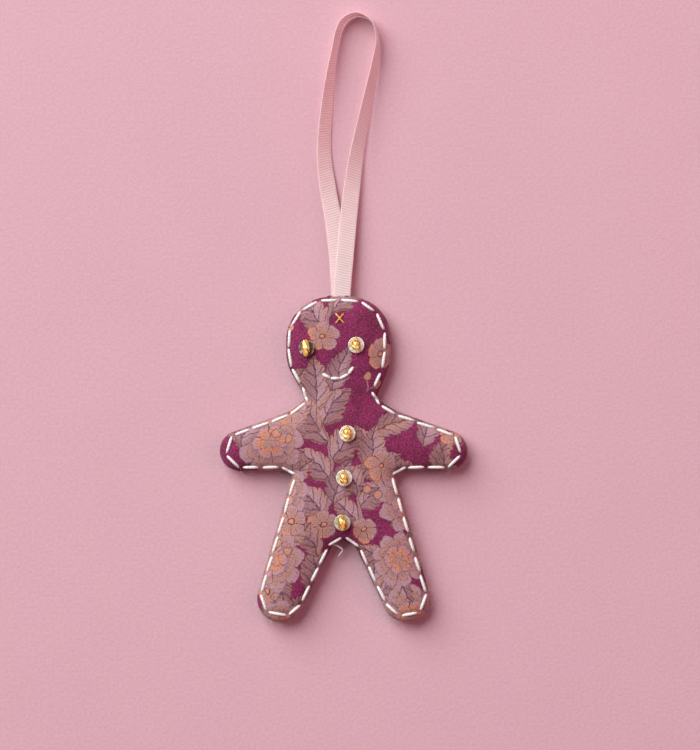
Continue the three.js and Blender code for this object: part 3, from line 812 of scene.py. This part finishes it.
class GardenPrint:
    """A print laid motif by motif on the colours under it, in flat millimetres of cloth."""

    def __init__(self, finish, x, y, blot, ground):
        self.finish = finish
        self.cloth_x = x
        self.cloth_y = y
        self.blot = blot
        self.colour = ground

    def repeat(self, width, height, start, keep=None):
        """Starts a half-drop repeat: each column sits half a height lower than the last. Keep says
        from the middle of a repeat whether it is printed."""
        x = self.cloth_x - start[0]
        y = self.cloth_y - start[1]
        column = (x * (1 / width)).whole()
        drop = column * (height / 2)
        row = ((y - drop) * (1 / height)).whole()
        self.keep = keep and keep(column.scaled(width, start[0]), row.scaled(height, drop + start[1]))
        self.x = x - column * width
        self.y = y - drop - row * height

    def local(self, at, angle):
        """Places along and across a motif that starts at a point and points at an angle."""
        c = math.cos(math.radians(angle))
        s = math.sin(math.radians(angle))
        u = self.x.scaled(c, self.y.scaled(s, -at[0] * c - at[1] * s))
        v = self.y.scaled(c, self.x.scaled(-s, at[0] * s - at[1] * c))
        return u, v

    def lay(self, mask, ink):
        printed = mask if self.keep is None else mask * self.keep
        self.colour = self.finish.mix(printed, self.colour, ink)

    def paint(self, inside, line, heart, edge, spread, shade=0.0, keep=1.0):
        """A shape painted from its edge to its heart and into its shade, with ragged sides and
        uneven ink lines."""
        ragged = inside + self.blot.scaled(1.2, -0.6)
        paint = self.finish.mix(ragged.step(0, spread), edge, heart)
        shaded = self.finish.mix(shade, paint, LEAF_SHADE)
        drawn = ragged.step(0.02, 0.4).scaled(0.6, 0.4) * line
        strength = self.blot.step(0.3, 0.6).scaled(0.45, 0.5)
        inked = self.finish.mix((1 - drawn) * strength, shaded, INK)
        self.lay(ragged.step(-0.1, 0.12) * keep, inked)

    def paint_leaf(self, u, v, length, width, heart, edge, lobes, keep=1.0):
        """A leaf with round lobes, a middle rib, a vein into every lobe and one half in shade."""
        t = u * (1 / length)
        side = abs(v)
        beat = t.scaled(lobes, side * (-0.3))
        lobe = abs((beat * math.pi).cosine()).root()
        taper = t.scaled(-2.4 * width, 5.2 * width).most(0.2 * width)
        inside = t * (1 - t) * taper * lobe.scaled(0.36, 0.7) - side
        vein = abs(beat - beat.whole()).step(0.03, 0.13)
        dim = v.step(-0.3, 0.3)
        hatch = abs((beat * 4).part() - 0.5).step(0.06, 0.3).most(1 - dim)
        line = vein.scaled(0.75, 0.25) * side.step(0.08, 0.34) * hatch.scaled(0.4, 0.6)
        self.paint(inside, line, heart, edge, 0.8 * width, dim * 0.45, keep)

    def leaf(self, at, angle, length, width, bend, heart, edge, lobes=5):
        u, v = self.local(at, angle)
        bow = u * (length - u) * (bend / length ** 2)
        self.paint_leaf(u, v - bow, length, width, heart, edge, lobes)

    def spray(self, at, angle, leaves, pitch, slant, length, width, bow):
        """A bowed stem with leaves to the left and right by turns and one leaf at its end."""
        u, v = self.local(at, angle)
        whole_length = leaves * pitch
        bent = u.least(whole_length)
        v = v - bent * (whole_length - bent) * (bow / whole_length ** 2)
        side = abs(v)
        forth_from = u - v.step(0.01, -0.01) * (pitch / 2)
        span = forth_from.step(-0.1, 0.1) * forth_from.step(whole_length + 0.1, whole_length - 0.1)
        inner = forth_from - (forth_from * (1 / pitch) - 0.5).whole() * pitch - 0.1 * pitch
        c = math.cos(math.radians(slant))
        s = math.sin(math.radians(slant))
        forth = inner.scaled(c, side * s)
        curl = forth * (length - forth) * (3.0 / length ** 2)
        aside = side.scaled(c, inner.scaled(-s, curl))
        self.paint_leaf(forth, aside, length, width, PETAL_MAUVE, LEAF_TAUPE, 4, span)
        beyond = side - u.scaled(-0.5 / whole_length, 0.9)
        stem = u.step(-0.1, 0.1) * u.step(whole_length + 1, whole_length) * beyond.step(0.08, -0.08)
        self.lay(stem, self.finish.mix(beyond.step(-0.05, -0.3), INK, LEAF_GREY))
        end = u - (whole_length - 1)
        self.paint_leaf(end, v, length * 1.1, width * 1.15, PETAL_MAUVE, LEAF_TAUPE, 5)

    def petals(self, u, v, size, count, turn, heart, edge):
        """A ring of petals parted by ink lines and hatched from their base."""
        away = (u * u + v * v).root()
        around = v.angle_over(u)
        petal = abs(around.scaled(count / 2, turn).cosine())
        inside = petal.root().scaled(0.26 * size, 0.74 * size) - away
        fold = petal.step(0.03, 0.18)
        hatch = abs(around.scaled(count * 2.5, turn).cosine()).step(0.05, 0.45)
        base = away.step(0.66 * size, 0.86 * size)
        self.paint(inside, fold * hatch.most(base).scaled(0.6, 0.4), heart, edge, 0.4 * size)

    def rosette(self, at, angle, size):
        """A full flower: rings of petals, each smaller ring over the larger one."""
        u, v = self.local(at, angle)
        for share, count, heart, edge in ROSETTE_RINGS:
            self.petals(u, v, share * size, count, 9 * share, heart, edge)

    def full_rosette(self, angle, size):
        """A rosette in the middle of its repeat with three leaves under it."""
        for turn, bend, heart in ((0, 5, LEAF_GREY), (125, -5, PETAL_MAUVE), (245, 4, LEAF_GREY)):
            self.leaf((0, 0), angle + turn, 1.65 * size, 0.38 * size, bend, heart, LEAF_TAUPE)
        self.rosette((0, 0), angle, size)

    def blossom(self, at, angle, size):
        """Five petals round an inked eye, warmer on one side."""
        u, v = self.local(at, angle)
        edge = self.finish.mix(u.step(-0.7 * size, 0.5 * size), PETAL_PEACH, PETAL_MAUVE)
        self.petals(u, v, size, 5, 0, LEAF_TAUPE, edge)
        away = (u * u + v * v).root()
        heart = self.finish.mix(away.step(0.2 * size, 0.1 * size), INK, PETAL_PEACH)
        self.lay(away.step(0.24 * size, 0.2 * size), heart)

    def berries(self, at, angle, size):
        """Two berries on a forked stalk."""
        u, v = self.local(at, angle)
        side = abs(v)
        stalk = abs(side - u * 0.5).step(0.36, 0.16) * u.step(-0.1, 0.3) * u.step(3 * size, 2.7 * size)
        self.lay(stalk, LEAF_GREY)
        over = u - 3 * size
        wide = side - 1.5 * size
        away = (over * over + wide * wide).root()
        paint = self.finish.mix(away.step(0.2 * size, 0.9 * size), PETAL_PEACH, LEAF_TAUPE)
        inked = self.finish.mix(away.step(size, 0.72 * size), INK, paint)
        self.lay(away.step(size + 0.08, size - 0.1), inked)


ROSETTE_RINGS = [
    (1.0, 9, LEAF_TAUPE, PETAL_MAUVE),
    (0.76, 8, LEAF_GREY, LEAF_TAUPE),
    (0.54, 6, PETAL_PEACH, PETAL_MAUVE),
    (0.32, 5, LEAF_TAUPE, PETAL_PEACH),
]


def printed_cotton():
    finish = new_finish("printed_cotton")
    cloth = finish.kept("cloth")
    x, y, _ = finish.parts(cloth)
    drift = finish.cloudy(cloth, 0.2)
    sway = finish.cloudy(finish.vector(y, x, 40), 0.2)
    blot = finish.cloudy(finish.vector(x, y, 70), 1.3, 3.0)
    ground = finish.mix(finish.cloudy(cloth, 0.16).step(0.35, 0.65), PLUM, PLUM_BRIGHT)
    warped = (drift.scaled(3.2, x - 1.6), sway.scaled(3.2, y - 1.6))
    design = GardenPrint(finish, *warped, blot, ground)
    design.repeat(50, 48, (33, 5))
    design.leaf((-2, -9), 62, 13, 3.6, 4, LEAF_GREY, LEAF_TAUPE)
    design.leaf((-23, 4), 20, 18, 4.2, 4, LEAF_TAUPE, LEAF_GREY)
    design.repeat(44, 64, (-9, 4))
    design.leaf((20, -10), 112, 20, 4.4, -6, LEAF_GREY, LEAF_TAUPE)
    design.leaf((-19, 5), 62, 19, 4.4, -5, PETAL_MAUVE, LEAF_TAUPE)
    design.spray((2, -26), 93, 3, 13, 44, 18, 4.5, -16)
    design.blossom((2, -26), 20, 5.2)
    design.repeat(33, 42, (10, -8), lambda x, y: y.step(24, 23) * x.step(22, 21))
    design.leaf((15, -4), 128, 17, 4.0, -4, LEAF_GREY, LEAF_TAUPE)
    design.spray((-3, -16), 84, 2, 11, 46, 14, 3.9, 12)
    design.blossom((-3, -16), 50, 4.4)
    design.repeat(48, 40, (-25, -34), lambda x, y: y.step(24, 23))
    design.full_rosette(40, 11.5)
    design.repeat(40, 46, (-21, -57), lambda x, y: y.step(8, 7))
    design.full_rosette(160, 9.5)
    design.repeat(31, 38, (5, 1), lambda x, y: y.step(-19, -18))
    design.leaf((-9, -16), 66, 17, 4.0, 4, PETAL_MAUVE, LEAF_GREY)
    design.berries((3, -16), 62, 1.5)
    design.blossom((8, -3), 20, 5.4)
    warp = finish.cloudy(finish.vector(x * 2.3, y * 1.1, 0), 1.0, 2.0)
    weft = finish.cloudy(finish.vector(x * 1.1, y * 2.3, 9), 1.0, 2.0)
    weave = (warp + weft) * 0.5
    worn = finish.mix(weave.step(0.44, 0.7) * 0.45, design.colour, INK)
    pale = finish.mix(weave.step(0.58, 0.3) * 0.18, worn, PETAL_MAUVE)
    return finish.surface(
        Base_Color=pale,
        Roughness=weave.scaled(0.2, 0.75),
        Specular_IOR_Level=0.2,
        Sheen_Weight=0.12,
        Sheen_Roughness=0.5,
        Normal=finish.bump(weave, 0.16),
    )


GRID = cloth_grid()
COTTON = printed_cotton()
cloth_panel("front_cloth", GRID, 1, COTTON, "front_panel", (0, 0))
cloth_panel("back_cloth", GRID, -1, COTTON, "back_panel", (17, 9))


# Threads

def thread_finish(name, pale, shade, **sockets):
    finish = new_finish(name)
    spot = finish.place()
    fibre = finish.cloudy(spot, 3.2, 3.0)
    return finish.surface(
        Base_Color=finish.mix(fibre.step(0.35, 0.75), pale, shade),
        Roughness=fibre.scaled(0.3, sockets.pop("Roughness")),
        Normal=finish.bump(fibre, 0.12),
        **sockets,
    )


WHITE_THREAD = thread_finish(
    "white_thread", THREAD_WHITE, THREAD_SHADE, Roughness=0.55, Sheen_Weight=0.15
)
GOLD_THREAD = thread_finish(
    "gold_thread", GOLD, GOLD_DEEP, Roughness=0.22, Metallic=0.8
)


def over_cloth(start, end, lift, radius, crown=0.0):
    """Stations of one stitch that lies on the front of the cloth, from hole to hole."""
    shares = np.array([0.05, 0.14, 0.32, 0.5, 0.68, 0.86, 0.95])
    rise = np.array([0.2, 0.8, 1.0, 1.0, 1.0, 0.8, 0.2])
    plan = start + shares[:, None] * (end - start)
    z = front_z(plan) + lift * rise + crown * bell(shares - 0.5, 0.2)
    thick = radius * np.array([0.78, 0.94, 1.0, 1.04, 1.0, 0.94, 0.78])
    return np.column_stack([plan, z, thick])


def under_front(spot, depth, radius):
    z = front_z(spot[None])[0] - depth
    return np.array([[*spot, z, radius * 0.7]])


def through_back(start, end, radius):
    """Stations of the short bite on the back between two stitches."""
    shares = np.array([0.0, 0.2, 0.5, 0.8, 1.0])
    drop = np.array([-0.5, 0.3, STITCH_LIFT, 0.3, -0.5])
    plan = start + shares[:, None] * (end - start)
    return np.column_stack([plan, back_z(plan) - drop, np.full(5, radius * 0.9)])


def running_stitch():
    stations = []
    for i, (start, end) in enumerate(STITCHES):
        stations.append(over_cloth(start, end, STITCH_LIFT, STITCH_RADIUS))
        if i + 1 < STITCH_COUNT:
            stations.append(through_back(*BITES[i], STITCH_RADIUS))
    first = under_front(STITCHES[0, 0], 2.0, STITCH_RADIUS)
    last = under_front(STITCHES[-1, 1], 2.0, STITCH_RADIUS)
    line = smooth_line(np.vstack([first, *stations, last]), 0.28, 8)
    return twisted(line, 3, 3.4, 12)


def surface_stitches(places, lift, radius, depth, crowns, plies, lay):
    stations = []
    for (start, end), crown in zip(places, crowns):
        stations.append(under_front(start, depth, radius))
        stations.append(over_cloth(start, end, lift, radius, crown))
        stations.append(under_front(end, depth, radius))
    return twisted(smooth_line(np.vstack(stations), 0.16, 8), plies, lay, 12)


def sew(name, mesh, material, slot, *nodes):
    made = piece(name, *mesh, material, slot)
    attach(made, "figure")
    if nodes:
        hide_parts(*nodes)
    return made


sew("running_thread", running_stitch(), WHITE_THREAD, "white_thread", "running_stitch")
SMILE_MESH = surface_stitches(SMILE, SMILE_LIFT, SMILE_THREAD, 1.3, [0] * SMILE_STITCHES, 3, 2.8)
sew("smile_thread", SMILE_MESH, WHITE_THREAD, "white_thread", "smile_stitch")
CROSS_MESH = surface_stitches(CROSS, 0.2, CROSS_THREAD, 1.3, [0, 0.42], 2, 1.4)
sew("cross_thread", CROSS_MESH, GOLD_THREAD, "gold_thread", "cross_stitch")


def loose_end():
    stations = [
        (-5.2, -28.6, 4.1, 0.2),
        (-3.6, -29.0, 4.2, 0.26),
        (-2.2, -29.5, 4.3, 0.3),
        (-1.0, -30.2, 4.0, 0.3),
        (-0.34, -30.9, 3.5, 0.28),
        (-1.0, -32.1, 2.9, 0.26),
        (-2.0, -33.2, 2.4, 0.16),
    ]
    return twisted(smooth_line(stations, 0.16), 2, 1.2, 10)


sew("thread_end", loose_end(), WHITE_THREAD, "white_thread")


# Sequins, beads and their gold threads

def sequin_finish():
    finish = new_finish("sequin")
    spot = finish.place()
    cast = finish.cloudy(spot, 0.5, 1.0)
    scratch = finish.cloudy(spot, 6.0, 2.0)
    # Painted dark reflection: each sequin's colour is drawn towards a dark tone by the share its trim
    # gives
    painted_dark_reflection, _, _ = finish.parts(finish.kept("painted_dark_reflection"))
    pale = finish.mix(cast.step(0.4, 0.62), CHAMPAGNE, CHAMPAGNE_DEEP)
    return finish.surface(
        Base_Color=finish.mix(painted_dark_reflection, pale, SEQUIN_PAINTED_REFLECTION),
        Roughness=scratch.scaled(0.18, 0.06),
        Metallic=0.1,
        Alpha=cast.step(0.32, 0.6).scaled(0.16, 0.84),
        Coat_Weight=0.8,
        Coat_Roughness=0.08,
        Normal=finish.bump(cast, 0.1),
    )


def bead_finish():
    finish = new_finish("gold_bead")
    spot = finish.place()
    cast = finish.cloudy(spot, 0.8, 2.0)
    return finish.surface(
        Base_Color=finish.mix(cast.step(0.42, 0.68), GOLD, GOLD_DEEP),
        Roughness=cast.scaled(0.2, 0.06),
        Metallic=0.95,
        Normal=finish.bump(cast, 0.06),
    )


SEQUIN = sequin_finish()
BEAD = bead_finish()


def trim_frame(place):
    """Where a trim sits on the puffed cloth, and the turn from upright to its own way up."""
    spot = np.array([place])
    slope = slope_of(spot, lambda points: puff_at(depth_inside(points)))[0]
    facing = Vector((-slope[0], -slope[1], 1)).normalized()
    turn = np.array(Vector((0, 0, 1)).rotation_difference(facing).to_matrix())
    return np.array([*place, SEAM_HEIGHT + puff_at(depth_inside(spot))[0]]), turn


def turned_ring(profile, segments, stagger=0.0):
    """A closed profile of radius and height turned about Z, every other row staggered."""
    points = []
    for i in range(segments):
        for j, (radius, height) in enumerate(profile):
            angle = 2 * math.pi * (i + stagger * (j % 2)) / segments
            points.append((radius * math.cos(angle), radius * math.sin(angle), height))
    return np.array(points), ring_faces(segments, len(profile), closed=True)


def sequin_mesh(lean_across, lean_along):
    """A shallow cup with a hole, its rim faintly fluted, that leans its own way."""
    rows = np.linspace(SEQUIN_HOLE, SEQUIN_RADIUS, 9)
    cup = SEQUIN_LIFT + SEQUIN_CUP * (rows / SEQUIN_RADIUS) ** 2
    upper = list(zip(rows, cup + SEQUIN_THICKNESS))
    lower = list(zip(rows, cup))[::-1]
    points, faces = turned_ring(upper + lower, 48)
    reach = np.hypot(points[:, 0], points[:, 1]) / SEQUIN_RADIUS
    angle = np.arctan2(points[:, 1], points[:, 0])
    points[:, 2] += 0.06 * reach ** 2 * np.cos(8 * angle)
    points[:, 2] += points[:, :2] @ np.tan(np.radians([lean_across, lean_along]))
    return points, faces


def bead_mesh(length, fullness):
    """A faceted rice bead along Y with a bore, its facets cut a little unevenly."""
    half = length / 2
    shoulder = fullness * BEAD_RADIUS
    end = BEAD_END * shoulder
    profile = [
        (BEAD_BORE, -half),
        (end, -half),
        (shoulder, -0.56 * half),
        (BEAD_RADIUS, 0),
        (shoulder, 0.56 * half),
        (end, half),
        (BEAD_BORE, half),
        (BEAD_BORE, 0),
    ]
    points, faces = turned_ring(profile, 8, 0.5)
    chance = random.Random(length)
    for i in range(len(points)):
        if 2 <= i % len(profile) <= 4:
            points[i, :2] *= chance.uniform(0.9, 1.0)
    triangles = []
    for a, b, c, d in faces:
        triangles += [(a, b, c), (a, c, d)]
    return points[:, [0, 2, 1]], triangles


def bead_thread_mesh(length):
    """Up from the cloth, through the bead's bore and down again."""
    height = BEAD_LIFT + BEAD_RADIUS
    half = [
        (GOLD_REACH, -GOLD_DEPTH),
        (GOLD_REACH, 0.1),
        (GOLD_REACH - 0.2, 1.1),
        (length / 2 + 0.1, height - 0.3),
        (length / 2 - 0.8, height),
    ]
    stations = [(0, -y, z, GOLD_RADIUS) for y, z in half]
    stations += [(0, y, z, GOLD_RADIUS) for y, z in half[::-1]]
    return twisted(smooth_line(stations, 0.14), 2, 1.1, 10)


def sew_trim(name, place):
    origin, turn = trim_frame(place)
    bead_origin = origin + turn @ np.array([0, 0, BEAD_LIFT + BEAD_RADIUS])
    lean_across, lean_along, painted_dark_reflection, length, fullness = TRIM_LOOKS[name]
    points, faces = sequin_mesh(lean_across, lean_along)
    mesh = (origin + points @ turn.T, faces)
    disc = sew("sequin_disc_" + name, mesh, SEQUIN, "sequin", "sequin_" + name)
    # The sequin keeps its share of painted dark reflection for its finish
    keep_places(disc, "painted_dark_reflection", [(painted_dark_reflection, 0, 0)] * len(points))
    points, faces = bead_thread_mesh(length)
    mesh = (origin + points @ turn.T, faces)
    sew("gold_strand_" + name, mesh, GOLD_THREAD, "gold_thread", "bead_thread_" + name)
    points, faces = bead_mesh(length, fullness)
    mesh = (bead_origin + points @ turn.T, faces)
    bead = piece("rice_bead_" + name, *mesh, BEAD, "gold_bead", smooth=False)
    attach(bead, "bead_" + name)
    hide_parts("bead_" + name)


for trim_name, trim_place in TRIMS.items():
    sew_trim(trim_name, trim_place)


# Stuffing and stray fibres

def wadding_finish():
    finish = new_finish("wadding")
    spot = finish.place()
    x, y, z = finish.parts(spot)
    strands = finish.cloudy(finish.vector(x * 0.5, y * 3, z * 3), 1.2, 4.0)
    return finish.surface(
        Base_Color=finish.mix(strands.step(0.35, 0.7), WADDING, WADDING_SHADE),
        Roughness=strands.scaled(0.1, 0.85),
        Sheen_Weight=0.3,
        Normal=finish.bump(strands, 0.5),
    )


WADDING_FINISH = wadding_finish()


def tuft(part):
    """A lump of wadding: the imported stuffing's form, drawn in unevenly."""
    node = "stuffing_" + part
    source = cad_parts[node]
    mesh = bpy.data.meshes.new_from_object(source)
    rough = bpy.data.objects.new("rough_" + part, mesh)
    scene.collection.objects.link(rough)
    remesh = rough.modifiers.new("remesh", "REMESH")
    remesh.mode = "VOXEL"
    remesh.voxel_size = TUFT_VOXEL * MM
    ready = rough.evaluated_get(bpy.context.evaluated_depsgraph_get()).to_mesh()
    points = []
    for vertex in ready.vertices:
        spot = vertex.co / MM
        draw = 0.4 + 0.5 * abs(noise.noise(spot / 2.3)) + 0.2 * abs(noise.noise(spot / 0.9))
        points.append(spot - vertex.normal * draw)
    faces = [tuple(polygon.vertices) for polygon in ready.polygons]
    bpy.data.objects.remove(rough)
    made = piece("wadding_" + part, points, faces, WADDING_FINISH, "stuffing")
    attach(made, "figure")
    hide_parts(node)


for stuffed_part in STUFFED:
    tuft(stuffed_part)


def stray_fibres():
    """Fine fibres that stand out of the seam along the legs and under the arms."""
    chance = random.Random(12)
    low = [i for i, (x, y) in enumerate(EDGE) if y < -30 or (y < -1 and abs(x) > 18)]
    points = []
    faces = []
    for _ in range(FIBRE_COUNT):
        i = chance.choice(low)
        way = unit((EDGE[(i + 1) % len(EDGE)] - EDGE[i - 1])[None])
        out = -inward(way)[0]
        length = chance.uniform(0.8, 3.0)
        lean = chance.uniform(-1.1, 1.1)
        rise = chance.uniform(-0.5, 0.6)
        curl = chance.uniform(-0.9, 0.9)
        start = SEAM_HEIGHT + chance.uniform(-1.2, 1.4)
        stations = []
        for share in (0, 0.3, 0.65, 1):
            forth = length * share - 0.7
            aside = lean * length * share ** 2 + curl * share * (1 - share) * 2
            spot = EDGE[i] + out * forth + way[0] * aside
            height = max(0.15, start + rise * length * share)
            stations.append((*spot, height, FIBRE_RADIUS * (1.1 - 0.5 * share)))
        strand, strand_faces = twisted(smooth_line(stations, 0.4), 1, 5.0, 4)
        faces += [tuple(k + len(points) for k in face) for face in strand_faces]
        points += strand.tolist()
    return np.array(points), faces


sew("stray_fibres", stray_fibres(), WADDING_FINISH, "stuffing")


# Table and light

def table_paper():
    finish = new_finish("table_paper")
    spot = finish.place()
    mottle = finish.cloudy(spot, 0.03, 3.0)
    grain = finish.cloudy(spot, 1.0, 2.0)
    return finish.surface(
        Base_Color=finish.mix(mottle * 0.4 + grain.step(0.25, 0.75) * 0.6, TABLE_PINK, TABLE_SHADE),
        Roughness=grain.scaled(0.1, 0.85),
        Specular_IOR_Level=0.15,
        Normal=finish.bump(grain, 0.07),
    )


def table():
    reach = 3.0
    mesh = bpy.data.meshes.new("table")
    corners = [(-reach, -reach, 0), (reach, -reach, 0), (reach, reach, 0), (-reach, reach, 0)]
    mesh.from_pydata(corners, [], [(0, 1, 2, 3)])
    mesh.materials.append(table_paper())
    made = bpy.data.objects.new("table", mesh)
    scene.collection.objects.link(made)


def soft_box(name, place, aim, power, size, tint):
    data = bpy.data.lights.new(name, "AREA")
    data.energy = power
    data.size = size
    data.color = tint
    lamp = bpy.data.objects.new(name, data)
    lamp.location = place
    lamp.rotation_euler = (Vector(aim) - Vector(place)).to_track_quat("-Z", "Y").to_euler()
    scene.collection.objects.link(lamp)


def room():
    world = bpy.data.worlds.new("room")
    finish = Finish(world)
    rays = finish.node("LightPath").socket.node.outputs
    camera, glossy, clear = (
        Value(finish, rays[name])
        for name in ("Is Camera Ray", "Is Glossy Ray", "Is Transmission Ray")
    )
    light = finish.node("Background", None, {"Color": (1.0, 0.5, 0.58, 1.0), "Strength": 0.16})
    shown = finish.node("Background", None, {"Color": ROOM, "Strength": 1.0})
    seen = camera.most(glossy).most(clear)
    both = finish.node("MixShader", None, {0: seen, 1: light, 2: shown})
    finish.node("OutputWorld", None, {"Surface": both})
    scene.world = world


table()
soft_box("key", (-1.25, 1.6, 1.7), (0.6, 0, 0), 118, 2.5, (0.84, 1.0, 0.965))
soft_box("fill", (1.6, 0.2, 1.5), (0, 0.03, 0), 11, 1.8, (1.0, 0.52, 0.6))
room()
